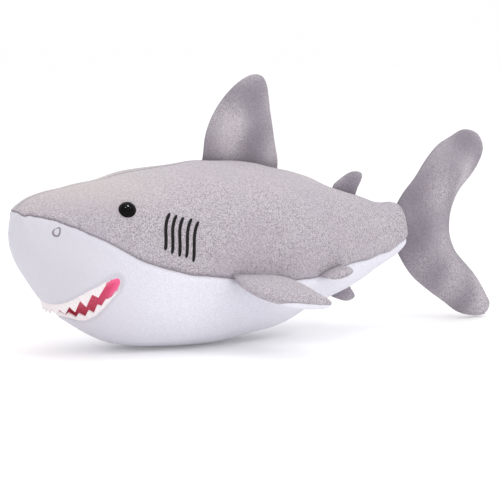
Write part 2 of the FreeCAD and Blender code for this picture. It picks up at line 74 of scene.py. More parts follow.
# The lips on one side, from the middle of the mouth to its corner: x, |y|, z.
UPPER_LIP = np.array([
    (-199.3, 0, 41.3), (-198.6, 8.8, 41.3), (-195.5, 21.5, 43.2), (-191.3, 30.3, 46.1),
    (-187.2, 36.7, 49.9), (-181.6, 42.3, 54.2), (-175.8, 46.4, 57.9), (-169.8, 49.7, 62.0),
    (-163.1, 52.4, 66.0), (-158.4, 53.9, 66.8), (-155.6, 54.4, 62.6)])
LOWER_LIP = np.array([
    (-185.5, 0, 28.6), (-184.4, 8.1, 28.4), (-181.1, 14.6, 27.4), (-177.7, 20.6, 27.2),
    (-174.5, 27.8, 29.0), (-171.7, 33.7, 32.0), (-168.6, 40.4, 37.4), (-164.6, 46.3, 44.0),
    (-161.2, 49.9, 49.8), (-157.3, 52.8, 56.0), (-155.6, 54.4, 62.6)])
LIP_ROLL = 1.6
MOUTH_DEPTH = 8.5

# Gill stitches on one side, the upper end and the lower end of each: x, |y|, z.
GILLS = [
    ((-116, 54.3, 112.8), (-124, 62, 85.1)), ((-111, 56.1, 111.3), (-119, 63.3, 82.1)),
    ((-106, 57.9, 109.7), (-113.5, 64.4, 79.7)), ((-99.5, 59.4, 108.6), (-108, 65.4, 78.7)),
    ((-94.5, 61.2, 106.2), (-102.5, 66.3, 75.3))]

# Fin outlines: front and rear points of each section as shares of the chord and of the
# span, and the share of the thickness. The first row lies inside the torso.
DORSAL = [
    (-0.01, -0.14, 1.01, -0.14, 0.42), (0.00, 0.00, 1.00, 0.00, 0.66),
    (0.005, 0.194, 0.941, 0.194, 0.90), (0.050, 0.390, 0.884, 0.390, 1.00),
    (0.135, 0.583, 0.829, 0.583, 0.92), (0.250, 0.750, 0.788, 0.750, 0.80),
    (0.368, 0.875, 0.751, 0.875, 0.62), (0.462, 0.945, 0.710, 0.945, 0.42),
    (0.535, 0.982, 0.665, 0.982, 0.22), (0.600, 0.994, 0.602, 0.994, 0.02)]
SMALL = [
    (0.00, -0.35, 1.00, -0.35, 0.50), (0.00, 0.00, 1.00, 0.00, 0.75),
    (0.130, 0.250, 1.000, 0.250, 0.95), (0.280, 0.500, 1.030, 0.500, 1.00),
    (0.440, 0.740, 1.050, 0.740, 0.90), (0.610, 0.910, 1.035, 0.900, 0.65),
    (0.770, 0.990, 0.970, 0.985, 0.30), (0.870, 1.005, 0.875, 1.005, 0.02)]
PECTORAL = [
    (0.00, -0.16, 1.00, -0.16, 0.40), (0.00, 0.00, 1.00, 0.00, 0.55),
    (-0.030, 0.180, 1.000, 0.180, 0.85), (-0.020, 0.400, 1.020, 0.380, 1.00),
    (0.035, 0.620, 1.050, 0.570, 0.95), (0.140, 0.800, 1.075, 0.740, 0.85),
    (0.270, 0.915, 1.110, 0.860, 0.78), (0.460, 0.985, 1.115, 0.930, 0.64),
    (0.680, 1.010, 1.060, 0.988, 0.40), (0.880, 1.018, 0.886, 1.018, 0.02)]
PELVIC = [
    (0.00, -0.45, 1.00, -0.45, 0.45), (0.00, 0.00, 1.00, 0.00, 0.65),
    (0.030, 0.300, 0.990, 0.300, 0.92), (0.110, 0.600, 0.970, 0.580, 1.00),
    (0.250, 0.850, 0.930, 0.820, 0.78), (0.440, 0.980, 0.850, 0.960, 0.42),
    (0.640, 1.010, 0.646, 1.008, 0.02)]
TAIL = [
    (0.838, 0.974, 0.842, 0.970, 0.02), (0.788, 0.990, 0.869, 0.942, 0.28),
    (0.687, 1.000, 0.889, 0.893, 0.50), (0.556, 0.965, 0.838, 0.815, 0.70),
    (0.424, 0.923, 0.747, 0.745, 0.85), (0.303, 0.848, 0.646, 0.682, 0.95),
    (0.190, 0.755, 0.581, 0.615, 1.00), (0.060, 0.670, 0.550, 0.550, 0.96),
    (-0.020, 0.590, 0.545, 0.495, 0.90), (-0.045, 0.501, 0.550, 0.453, 0.88),
    (-0.020, 0.417, 0.576, 0.405, 0.90), (0.045, 0.340, 0.616, 0.357, 0.96),
    (0.155, 0.248, 0.707, 0.297, 0.95), (0.310, 0.168, 0.808, 0.233, 0.90),
    (0.500, 0.088, 0.889, 0.167, 0.80), (0.657, 0.025, 0.955, 0.104, 0.65),
    (0.818, 0.001, 0.990, 0.055, 0.45), (0.899, 0.000, 0.965, 0.019, 0.22),
    (0.938, 0.003, 0.942, 0.006, 0.02)]


# ---- curves and surfaces -------------------------------------------------------------

def smooth(at, knots, values):
    """Cubic pieces through the values, each slope being that of the parabola through a
    value and its two neighbours."""
    values = np.asarray(values, float).reshape(len(knots), -1)
    gaps = np.diff(knots)[:, None]
    rises = np.diff(values, axis=0) / gaps
    slopes = np.empty_like(values)
    slopes[1:-1] = (rises[:-1] * gaps[1:] + rises[1:] * gaps[:-1]) / (gaps[1:] + gaps[:-1])
    slopes[0] = 1.5 * rises[0] - 0.5 * slopes[1]
    slopes[-1] = 1.5 * rises[-1] - 0.5 * slopes[-2]
    at = np.clip(at, knots[0], knots[-1])
    cell = np.clip(np.searchsorted(knots, at, side="right") - 1, 0, len(gaps) - 1)
    t = ((at - knots[cell]) / gaps[cell, 0])[..., None]
    gap = gaps[cell]
    return ((2 * t ** 3 - 3 * t ** 2 + 1) * values[cell]
            + (t ** 3 - 2 * t ** 2 + t) * gap * slopes[cell]
            + (3 * t ** 2 - 2 * t ** 3) * values[cell + 1]
            + (t ** 3 - t ** 2) * gap * slopes[cell + 1])


def lengths_along(points):
    """The distance walked along a line of points."""
    steps = np.linalg.norm(np.diff(points, axis=0), axis=1)
    return np.concatenate([[0], np.cumsum(steps)])


def ease(value):
    """A smooth step from 0 to 1."""
    t = np.clip(value, 0, 1)
    return t * t * (3 - 2 * t)


def power(value, exponent):
    """A power that keeps the sign."""
    return np.sign(value) * np.abs(value) ** exponent


def unit(vectors):
    """Vectors brought to length one."""
    return vectors / np.maximum(np.linalg.norm(vectors, axis=-1, keepdims=True), 1e-9)


def ripple(points, wavelength, seed, waves=7):
    """A smooth uneven field between about -1 and 1: a sum of sine waves whose directions
    and starts come from the seed."""
    random = np.random.default_rng(seed)
    total = 0
    for _ in range(waves):
        heading = unit(random.normal(size=3)) * 2 * math.pi / wavelength
        heading = heading * random.uniform(0.6, 1.5)
        total = total + np.sin(points @ heading + random.uniform(0, 2 * math.pi))
    return total / math.sqrt(waves)


def ring_sample(field, column):
    """Values of a field on closed rings of evenly spaced columns, read at any column by
    cubic pieces through the four nearest."""
    count = field.shape[1]
    first = np.floor(column).astype(int)
    t = (column - first)[..., None]
    row = np.arange(field.shape[0])[:, None]
    a, b, c, d = (field[row, (first + k) % count] for k in (-1, 0, 1, 2))
    return b + 0.5 * t * (c - a + t * (2 * a - 5 * b + 4 * c - d + t * (3 * (b - c) + d - a)))


def quads(rows, columns, closed=False):
    """The four corners of each cell of a grid of points."""
    across = columns if closed else columns - 1
    i, j = np.meshgrid(np.arange(rows - 1), np.arange(across), indexing="ij")
    k = (j + 1) % columns
    corners = [i * columns + j, i * columns + k, (i + 1) * columns + k, (i + 1) * columns + j]
    return np.stack([c.ravel() for c in corners], 1)


# ---- the torso's form ----------------------------------------------------------------

RING_TRACK = lengths_along(RINGS)


def torso_ring(track):
    """The ring at a distance along the torso: x, middle, half height, half width."""
    x, top, bottom, half_width = np.moveaxis(smooth(track, RING_TRACK, RINGS), -1, 0)
    return x, (top + bottom) / 2, (top - bottom) / 2, half_width


def torso_skin(track, angle):
    """Superellipse rings: half width times a signed power of the angle's cosine, and half
    height times that of its sine, and no lower than the floor."""
    x, middle, half_height, half_width = torso_ring(track)
    y = half_width * power(np.cos(angle), 2 / ROUNDNESS)
    z = middle + half_height * power(np.sin(angle), 2 / ROUNDNESS)
    z = (z + np.sqrt(z * z + FLOOR_EASE ** 2)) / 2
    return np.stack(np.broadcast_arrays(x, y, z), -1)


def torso_outwards(track, angle):
    """The outward direction, square to the ring and to the line along the torso."""
    step = 0.05
    x, middle, half_height, half_width = torso_ring(track)
    side = half_height * power(np.cos(angle), 2 - 2 / ROUNDNESS)
    rise = half_width * power(np.sin(angle), 2 - 2 / ROUNDNESS)
    flat = unit(np.stack(np.broadcast_arrays(side * 0, side, rise), -1))
    after = torso_skin(np.minimum(track + step, RING_TRACK[-1]), angle)
    run = after - torso_skin(np.maximum(track - step, 0), angle)
    slope = np.sum(flat * run, axis=-1, keepdims=True)
    return unit(flat * run[..., :1] - slope * np.array([1.0, 0, 0]))


def track_at(x):
    """The distance along the torso at which a ring lies at x."""
    track = np.linspace(RING_TRACK[0], RING_TRACK[-2], 3000)
    return np.interp(x, torso_ring(track)[0], track)


def angle_of(points):
    """The angle round the ring, between -90 and 90 degrees, of points on one side."""
    track = track_at(points[:, 0])
    _, middle, half_height, half_width = torso_ring(track)
    rise = power((points[:, 2] - middle) / half_height, ROUNDNESS / 2)
    side = power(np.abs(points[:, 1]) / half_width, ROUNDNESS / 2)
    return track, np.arctan2(rise, side)


seam_track, seam_angle = angle_of(SEAM)
seam_start = track_at(SEAM_START_X)
torso_end = RING_TRACK[-1]
seam_track = np.concatenate([[seam_start], seam_track, [torso_end]])
seam_angle = np.concatenate([[math.pi / 2], seam_angle, [seam_angle[-1] + 0.05]])


def seam_at(track):
    """The seam's angle at each distance along the torso; the ridge before the seam starts."""
    angle = smooth(track, seam_track, seam_angle)[..., 0]
    return np.where(track <= seam_start, math.pi / 2, np.minimum(angle, math.pi / 2))


# ---- swelling by cloth simulation ----------------------------------------------------

def swell(name, rings, pinned, poles, push, cap, frames=16):
    """How far each point of a closed sleeve of rings moves when it is blown up as cloth,
    with the pinned points held, capped at a distance. A pole closes an end of the sleeve
    where its ring has shrunk to a point."""
    rows, columns = rings.shape[:2]
    still = np.zeros_like(rings)
    first = 1 if poles[0] else 0
    last = rows - 1 if poles[1] else rows
    body = rings[first:last]
    points = body.reshape(-1, 3)
    held = pinned[first:last].ravel()
    faces = quads(len(body), columns, closed=True).tolist()
    for at_start, end in ((True, poles[0]), (False, poles[1])):
        if end:
            edge = 0 if at_start else (len(body) - 1) * columns
            tip = rings[0 if at_start else -1].mean(0)
            points = np.vstack([points, tip])
            held = np.append(held, 0)
            spare = len(points) - 1
            order = [(edge + k, edge + (k + 1) % columns) for k in range(columns)]
            faces += [[b, a, spare] if at_start else [a, b, spare] for a, b in order]
    mesh = bpy.data.meshes.new(name)
    mesh.from_pydata((points * MM).tolist(), [], faces)
    form = bmesh.new()
    form.from_mesh(mesh)
    bmesh.ops.recalc_face_normals(form, faces=form.faces)
    form.to_mesh(mesh)
    form.free()
    item = bpy.data.objects.new(name, mesh)
    bpy.context.scene.collection.objects.link(item)
    group = item.vertex_groups.new(name="held")
    for weight in np.unique(held[held > 0]):
        group.add(np.flatnonzero(held == weight).tolist(), float(weight), "REPLACE")
    cloth = item.modifiers.new("cloth", "CLOTH")
    settings = cloth.settings
    settings.quality = 6
    settings.mass = 0.2
    settings.tension_stiffness = 14
    settings.compression_stiffness = 10
    settings.shear_stiffness = 6
    settings.bending_stiffness = 0.35
    settings.use_pressure = True
    settings.uniform_pressure_force = push
    settings.vertex_group_mass = "held"
    settings.pin_stiffness = 1
    settings.effector_weights.gravity = 0
    cloth.point_cache.frame_start = 1
    cloth.point_cache.frame_end = frames
    scene = bpy.context.scene
    for step in range(1, frames + 1):
        scene.frame_set(step)
    graph = bpy.context.evaluated_depsgraph_get()
    swollen = item.evaluated_get(graph).to_mesh()
    ends = np.empty(len(points) * 3)
    swollen.vertices.foreach_get("co", ends)
    moved = ends.reshape(-1, 3) / MM - points
    bpy.data.objects.remove(item)
    scene.frame_set(1)
    far = np.linalg.norm(moved, axis=1, keepdims=True)
    moved = moved * np.minimum(1, cap / np.maximum(far, 1e-6))
    still[first:last] = moved[:len(body) * columns].reshape(body.shape)
    extra = moved[len(body) * columns:]
    if poles[0]:
        still[0] = extra[0]
    if poles[1]:
        still[-1] = extra[-1]
    return still


# ---- materials -----------------------------------------------------------------------

class Value:
    """A socket that sums can be written with; each operation adds one Math node."""

    def __init__(self, finish, socket):
        self.finish = finish
        self.socket = socket

    def sum(self, operation, first, second):
        node = self.finish.node("ShaderNodeMath", {"operation": operation}, {0: first, 1: second})
        return Value(self.finish, node.outputs[0])

    def __add__(self, other):
        return self.sum("ADD", self, other)

    def __rsub__(self, other):
        return self.sum("SUBTRACT", other, self)

    def __mul__(self, other):
        return self.sum("MULTIPLY", self, other)

    __radd__ = __add__
    __rmul__ = __mul__

    def clamped(self, low, high):
        settings = {"interpolation_type": "SMOOTHSTEP"}
        node = self.finish.node("ShaderNodeMapRange", settings,
                                {"Value": self, "From Min": low, "From Max": high})
        return Value(self.finish, node.outputs["Result"])


class Finish:
    """One material. node() is the only way in which nodes are added."""

    def __init__(self, name, **constants):
        self.material = bpy.data.materials.new(name)
        self.material.use_nodes = True
        self.tree = self.material.node_tree
        self.shader = self.tree.nodes["Principled BSDF"]
        for socket, value in constants.items():
            self.shader.inputs[socket.replace("_", " ")].default_value = value

    def node(self, kind, settings=None, inputs=None):
        node = self.tree.nodes.new(kind)
        for key, value in (settings or {}).items():
            setattr(node, key, value)
        for key, value in (inputs or {}).items():
            self.feed(node.inputs[key], value)
        return node

    def feed(self, socket, value):
        if isinstance(value, Value):
            value = value.socket
        if isinstance(value, bpy.types.NodeSocket):
            self.tree.links.new(value, socket)
        else:
            socket.default_value = value

    def place(self):
        return self.node("ShaderNodeTexCoord").outputs["Object"]

    def noise(self, scale, detail=2.0, roughness=0.5, stretch=(1, 1, 1)):
        place = self.node("ShaderNodeMapping", None,
                          {"Vector": self.place(), "Scale": stretch}).outputs[0]
        inputs = {"Vector": place, "Scale": scale, "Detail": detail, "Roughness": roughness}
        return Value(self, self.node("ShaderNodeTexNoise", None, inputs).outputs["Fac"])

    def attribute(self, name):
        node = self.node("ShaderNodeAttribute", {"attribute_name": name})
        return Value(self, node.outputs["Fac"])

    def mix(self, share, first, second):
        node = self.node("ShaderNodeMix", {"data_type": "RGBA"})
        self.feed(node.inputs["Factor"], share)
        self.feed(node.inputs[6], first)
        self.feed(node.inputs[7], second)
        return node.outputs[2]

    def paint(self, colour, height=None, distance=0.0005, strength=0.6):
        self.feed(self.shader.inputs["Base Color"], colour)
        if height is not None:
            inputs = {"Height": height, "Distance": distance, "Strength": strength}
            bump = self.node("ShaderNodeBump", None, inputs)
            self.feed(self.shader.inputs["Normal"], bump.outputs[0])
        return self.material


def colour(red, green, blue):
    """A colour in display values, as the linear values that the shader takes."""
    linear = [c / 12.92 if c < 0.04045 else ((c + 0.055) / 1.055) ** 2.4
              for c in (red, green, blue)]
    return (*linear, 1.0)


def grey_plush():
    """Short grey pile: speckled tufts, broad patches where the pile lies over, a warmer
    tint and painted light on top of the head, painted light on the back, a darker pile lie
    with painted shade on the fins, and painted shade in creases."""
    plush = Finish("grey_plush", Roughness=0.95, Sheen_Weight=0.12, Sheen_Roughness=0.6)
    tufts = plush.noise(1150, 2, 0.6)
    clumps = plush.noise(520, 2, 0.5)
    patches = plush.noise(26, 3, 0.55)
    speckle = (tufts * 0.78 + clumps * 0.22).clamped(0.36, 0.62)
    base = plush.mix(speckle, colour(0.535, 0.50, 0.53), colour(0.775, 0.745, 0.775))
    base = plush.mix(patches.clamped(0.38, 0.72) * 0.45, base, colour(0.655, 0.62, 0.67))
    axes = plush.node("ShaderNodeSeparateXYZ", None, {0: plush.place()}).outputs
    head = 1 - Value(plush, axes[0]).clamped(-0.17, -0.08)
    # Painted light: the top of the head is lighter, a warmer tint together with the light falling
    # from above.
    crown_tint_and_light = Value(plush, axes[2]).clamped(0.105, 0.135) * head
    base = plush.mix(crown_tint_and_light * 0.40, base, colour(0.775, 0.74, 0.71))
    # Painted light: the top of the back is paler where the light from above falls on it, except on
    # the fins.
    top = Value(plush, axes[2]).clamped(0.10, 0.145) * (1 - plush.attribute("pile_lie_and_shade"))
    base = plush.mix(top * 0.22, base, colour(0.80, 0.77, 0.77))
    # Painted shade: the fins are darker, partly from their pile lie and partly for the weaker
    # light on their sides.
    base = plush.mix(plush.attribute("pile_lie_and_shade") * 0.55, base, colour(0.45, 0.42, 0.465))
    # Painted shade in seams, creases and at the fins' roots.
    base = plush.mix(plush.attribute("crease_shade") * 0.62, base, colour(0.34, 0.31, 0.35))
    return plush.paint(base, tufts * 0.7 + clumps * 0.3, 0.0010, 0.8)


def white_plush():
    """Smooth white pile with a cool cast, painted shade greying the head, fine tufts and
    painted shade in creases."""
    plush = Finish("white_plush", Roughness=0.95, Sheen_Weight=0.15, Sheen_Roughness=0.6)
    tufts = plush.noise(900, 2, 0.5)
    patches = plush.noise(22, 2, 0.5)
    base = plush.mix(tufts.clamped(0.3, 0.7), colour(0.835, 0.83, 0.865),
                     colour(0.895, 0.89, 0.925))
    base = plush.mix(patches.clamped(0.4, 0.8) * 0.3, base, colour(0.84, 0.835, 0.885))
    axes = plush.node("ShaderNodeSeparateXYZ", None, {0: plush.place()}).outputs
    # Painted shade: the white pile greys towards the nose, which faces away from the key lamp.
    front = 1 - Value(plush, axes[0]).clamped(-0.20, -0.10)
    base = plush.mix(front * 0.85, base, colour(0.77, 0.76, 0.795))
    # Painted shade in seams and creases.
    base = plush.mix(plush.attribute("crease_shade") * 0.45, base, colour(0.60, 0.57, 0.63))
    return plush.paint(base, tufts, 0.0005, 0.35)


def mouth_fabric():
    """Rose-pink knit, hot pink towards the corners of the mouth."""
    knit = Finish("mouth_fabric", Roughness=0.85, Sheen_Weight=0.2)
    ribs = knit.noise(800, 2, 0.5)
    base = knit.mix(ribs.clamped(0.3, 0.7), colour(0.80, 0.30, 0.40), colour(0.87, 0.38, 0.48))
    axes = knit.node("ShaderNodeSeparateXYZ", None, {0: knit.place()}).outputs
    corner = Value(knit, axes[0]).clamped(-0.174, -0.160)
    base = knit.mix(corner * 0.85, base, colour(0.97, 0.42, 0.62))
    return knit.paint(base, ribs, 0.0004, 0.4)


def white_felt():
    """Pressed felt: matted fibres in every direction."""
    felt = Finish("white_felt", Roughness=1.0)
    mat = felt.noise(1300, 4, 0.7)
    base = felt.mix(mat.clamped(0.25, 0.75), colour(0.87, 0.835, 0.845),
                    colour(0.945, 0.925, 0.93))
    return felt.paint(base, mat, 0.0003, 0.5)


def eye_plastic():
    """Black moulded plastic, polished, with faint moulding swirls."""
    plastic = Finish("eye_plastic", Roughness=0.1, Specular_IOR_Level=0.09)
    swirl = plastic.noise(90, 2, 0.5)
    base = plastic.mix(swirl, colour(0.0, 0.0, 0.0), colour(0.03, 0.028, 0.03))
    return plastic.paint(base)


def washer_plastic():
    """Pale matt plastic with a fine moulded grain."""
    plastic = Finish("washer_plastic", Roughness=0.5)
    grain = plastic.noise(700, 2, 0.5)
    base = plastic.mix(grain, colour(0.86, 0.86, 0.84), colour(0.92, 0.92, 0.90))
    return plastic.paint(base, grain, 0.0002, 0.3)


def thread(name, dark, light):
    """Satin stitches: fine strands laid side by side across the line."""
    strands = Finish(name, Roughness=0.6, Specular_IOR_Level=0.15)
    along = strands.node("ShaderNodeUVMap").outputs[0]
    wave = strands.node("ShaderNodeTexWave", {"bands_direction": "X"},
                        {"Vector": along, "Scale": 0.62, "Distortion": 0.6, "Detail": 1.0})
    lay = Value(strands, wave.outputs["Fac"])
    base = strands.mix(lay, colour(*dark), colour(*light))
    return strands.paint(base, lay, 0.0003, 0.7)


FINISHES = {
    "grey_plush": grey_plush(),
    "white_plush": white_plush(),
    "mouth_fabric": mouth_fabric(),
    "white_felt": white_felt(),
    "eye_plastic": eye_plastic(),
    "washer_plastic": washer_plastic(),
    "black_thread": thread("black_thread", (0.015, 0.015, 0.02), (0.05, 0.045, 0.055)),
    "grey_thread": thread("grey_thread", (0.42, 0.38, 0.42), (0.66, 0.62, 0.66)),
}


# ---- making a piece ------------------------------------------------------------------

def add_piece(name, points, faces, slot, inside=None, crease_shade=None, uv=None, subdivide=0,
              pile_lie_and_shade=None):
    """A mesh from points in millimetres and faces, with its doubles merged. Faces turn away
    from the inside point where one is given, and outwards together where none is."""
    mesh = bpy.data.meshes.new(name)
    points = points.reshape(-1, 3)
    mesh.from_pydata((points * MM).tolist(), [], faces.tolist())
    # Point attributes that carry painted shade for the finishes: in creases, and on the fins
    # together with their pile lie.
    if crease_shade is not None:
        layer = mesh.attributes.new("crease_shade", "FLOAT", "POINT")
        layer.data.foreach_set("value", crease_shade.ravel().astype(np.float32))
    if pile_lie_and_shade is not None:
        layer = mesh.attributes.new("pile_lie_and_shade", "FLOAT", "POINT")
        layer.data.foreach_set("value", pile_lie_and_shade.ravel().astype(np.float32))
    if uv is not None:
        layer = mesh.uv_layers.new(name="UVMap")
        layer.data.foreach_set("uv", uv.reshape(-1, 2)[faces.ravel()].ravel())
    form = bmesh.new()
    form.from_mesh(mesh)
    bmesh.ops.remove_doubles(form, verts=form.verts, dist=2e-6)
    bmesh.ops.dissolve_degenerate(form, edges=form.edges, dist=1e-7)
    if inside is None:
        bmesh.ops.recalc_face_normals(form, faces=form.faces)
    form.to_mesh(mesh)
    form.free()
    if inside is not None:
        count = len(mesh.polygons)
        centre = np.empty(count * 3)
        normal = np.empty(count * 3)
        mesh.polygons.foreach_get("center", centre)
        mesh.polygons.foreach_get("normal", normal)
        away = centre.reshape(-1, 3) - np.asarray(inside) * MM
        if np.sum(away * normal.reshape(-1, 3)) < 0:
            mesh.flip_normals()
    mesh.polygons.foreach_set("use_smooth", np.ones(len(mesh.polygons), bool))
    piece = bpy.data.objects.new(name, mesh)
    bpy.context.scene.collection.objects.link(piece)
    mesh.materials.append(FINISHES[slot])
    if subdivide:
        layer = piece.modifiers.new("rounding", "SUBSURF")
        layer.levels = subdivide
        layer.render_levels = subdivide
    return piece


# ---- the torso's panels --------------------------------------------------------------

RING_COLUMNS = 48
TORSO_ROWS = 64
PANEL_ROWS = 190
BACK_COLUMNS = 38
BELLY_COLUMNS = 144
MOUTH_RADIUS = 46.0
BODY_MIDDLE = (-40.0, 0.0, 70.0)
PUFF_SINK = 1.2
NOSE_STITCH_PITCH = 2.6
NOSE_STITCH_START_X = -205
NOSE_STITCH_FADE = 35


def torso_swelling():
    """The torso as a sleeve of cloth, held along its seams and round its mouth."""
    track = np.linspace(0, torso_end, TORSO_ROWS)
    angle = np.arange(RING_COLUMNS) * 2 * math.pi / RING_COLUMNS
    rings = torso_skin(track[:, None], angle[None, :])
    outwards = torso_outwards(track[:, None], angle[None, :])
    lean = math.pi / 2 - np.abs(np.mod(angle, 2 * math.pi) - math.pi / 2)
    lean = np.where(angle > 1.5 * math.pi, angle - 2 * math.pi, lean)
    radius = torso_ring(track)[3][:, None] * 0.5 + 25
    off_seam = np.abs(lean[None, :] - seam_at(track)[:, None]) * radius
    held = 1 - ease((off_seam - 2.0) / 3.0)
    held = np.where(rings[..., 0] < -205, 1.0, held)
    in_mouth = (rings[..., 0] < -150) & (rings[..., 2] < 68)
    held = np.where(in_mouth | (rings[..., 2] < 4) | (rings[..., 0] > 118), 1.0, held)
    held = np.round(held, 1)
    moved = swell("torso_cloth", rings, held, (True, True), 5.0, 5.0)
    return track, np.sum(moved * outwards, axis=-1, keepdims=True)


swelling_track, swelling = torso_swelling()


def swelling_at(track, angle):
    """The swelling read at rows and angles of a panel."""
    rows = smooth(track, swelling_track, swelling[..., 0])
    return ring_sample(rows[..., None], angle / (2 * math.pi) * RING_COLUMNS)[..., 0]


def unevenness(points):
    """Slow lumps and hollows of the stuffing under the skin."""
    return ripple(points, 75, 11) * 0.9 + ripple(points, 32, 12) * 0.30


def puckered(track, angle, base, off_seam, off_ridge):
    """The panel's skin moved outwards: swollen between its seams, sunk along them, with
    small gathers that fade out away from each seam and slow unevenness over all."""
    height = swelling_at(track[:, 0], angle) - PUFF_SINK
    height = height * ease(off_seam / 14)
    before = np.hypot(off_seam, np.maximum(seam_start - track, 0))
    gather = ripple(base, 9, 5) * 0.35 * np.exp(-(before / 8) ** 2)
    slow = unevenness(base)
    height = height - 1.5 * np.exp(-(before / 1.9) ** 2) - 0.5 * np.exp(-(before / 6) ** 2)
    height = height + gather + slow * ease(base[..., 2] / 12)
    height = height - 0.9 * np.exp(-(off_ridge / 1.5) ** 2)
    return base + torso_outwards(track, angle) * height[..., None]


def panel_track(start):
    """Rows along the torso, closer together on the head than behind it."""
    share = np.linspace(0, 1, PANEL_ROWS)
    bend = share + 0.10 * np.sin(math.pi * share) * (share - 1.4)
    return start + (torso_end - start) * bend


def arc_lengths(points):
    """The length of each row of a panel."""
    return np.linalg.norm(np.diff(points, axis=1), axis=2).sum(1)[:, None]


def back_panel(side, name):
    """Half of the grey back: from the ridge down to the seam, with painted shade along the
    seam, darker in stitch dashes near the nose."""
    track = panel_track(seam_start)[:, None]
    share = np.linspace(0, 1, BACK_COLUMNS)[None, :]
    lean = math.pi / 2 + (seam_at(track) - math.pi / 2) * share
    angle = lean if side > 0 else math.pi - lean
    base = torso_skin(track, angle)
    arc = arc_lengths(base)
    off_seam = (1 - share) * arc
    off_ridge = share * arc + 0 * track
    points = puckered(track + 0 * share, angle, base, off_seam, off_ridge)
    # Painted shade along the seam and the ridge; near the nose it comes in dashes, for the stitch
    # thread together with its painted shade.
    crease_shade = np.exp(-(off_seam / 1.1) ** 2) + 0.8 * np.exp(-(off_ridge / 0.9) ** 2)
    stitch = 0.5 + 0.5 * np.sin(track * 2 * math.pi / NOSE_STITCH_PITCH)
    stitch = stitch * (1 - ease((base[..., 0] - NOSE_STITCH_START_X) / NOSE_STITCH_FADE))
    crease_shade = crease_shade * (1 + 0.9 * stitch * (off_seam < 2.5))
    crease_shade = np.clip(crease_shade, 0, 1.5)
    faces = quads(PANEL_ROWS, BACK_COLUMNS)
    piece = add_piece("back_panel_" + name + "_plush", points, faces, "grey_plush",
                      BODY_MIDDLE, crease_shade, subdivide=1)
    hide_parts("back_panel_" + name)
    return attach(piece, "torso")


def mouth_outline():
    """The mouth's closed outline on the unrolled skin: distance along the torso, and the
    angle from the middle of the belly turned into millimetres."""
    lines = []
    for lip in (UPPER_LIP, LOWER_LIP):
        track, angle = angle_of(lip)
        fine = np.linspace(0, len(lip) - 1, 60)
        steps = np.arange(len(lip)).astype(float)
        turned = (angle + math.pi / 2) * MOUTH_RADIUS
        lines.append(smooth(fine, steps, np.stack([track, turned], 1)))
    upper, lower = lines
    right = np.vstack([upper, lower[-2::-1]])
    left = right[1:-1][::-1] * [1, -1]
    return np.vstack([right, left])


outline = mouth_outline()


def mouth_reach(spots):
    """How far inside the mouth's outline each spot lies, less than zero outside it, and
    the nearest spot of the outline."""
    ahead = np.roll(outline, -1, axis=0)
    edge = ahead - outline
    away = spots[:, None, :] - outline[None]
    share = np.sum(away * edge, -1) / np.maximum(np.sum(edge * edge, -1), 1e-9)
    nearest = outline + np.clip(share, 0, 1)[..., None] * edge
    gap = np.linalg.norm(spots[:, None, :] - nearest, axis=-1)
    pick = gap.argmin(1)
    row = np.arange(len(spots))
    rising = (outline[:, 1] > spots[:, None, 1]) != (ahead[:, 1] > spots[:, None, 1])
    run = np.where(edge[:, 1] == 0, 1e-9, edge[:, 1])
    cross = outline[:, 0] + (spots[:, None, 1] - outline[:, 1]) / run * edge[:, 0]
    inside = (rising & (spots[:, None, 0] < cross)).sum(1) % 2 == 1
    return np.where(inside, 1, -1) * gap[row, pick], nearest[row, pick]


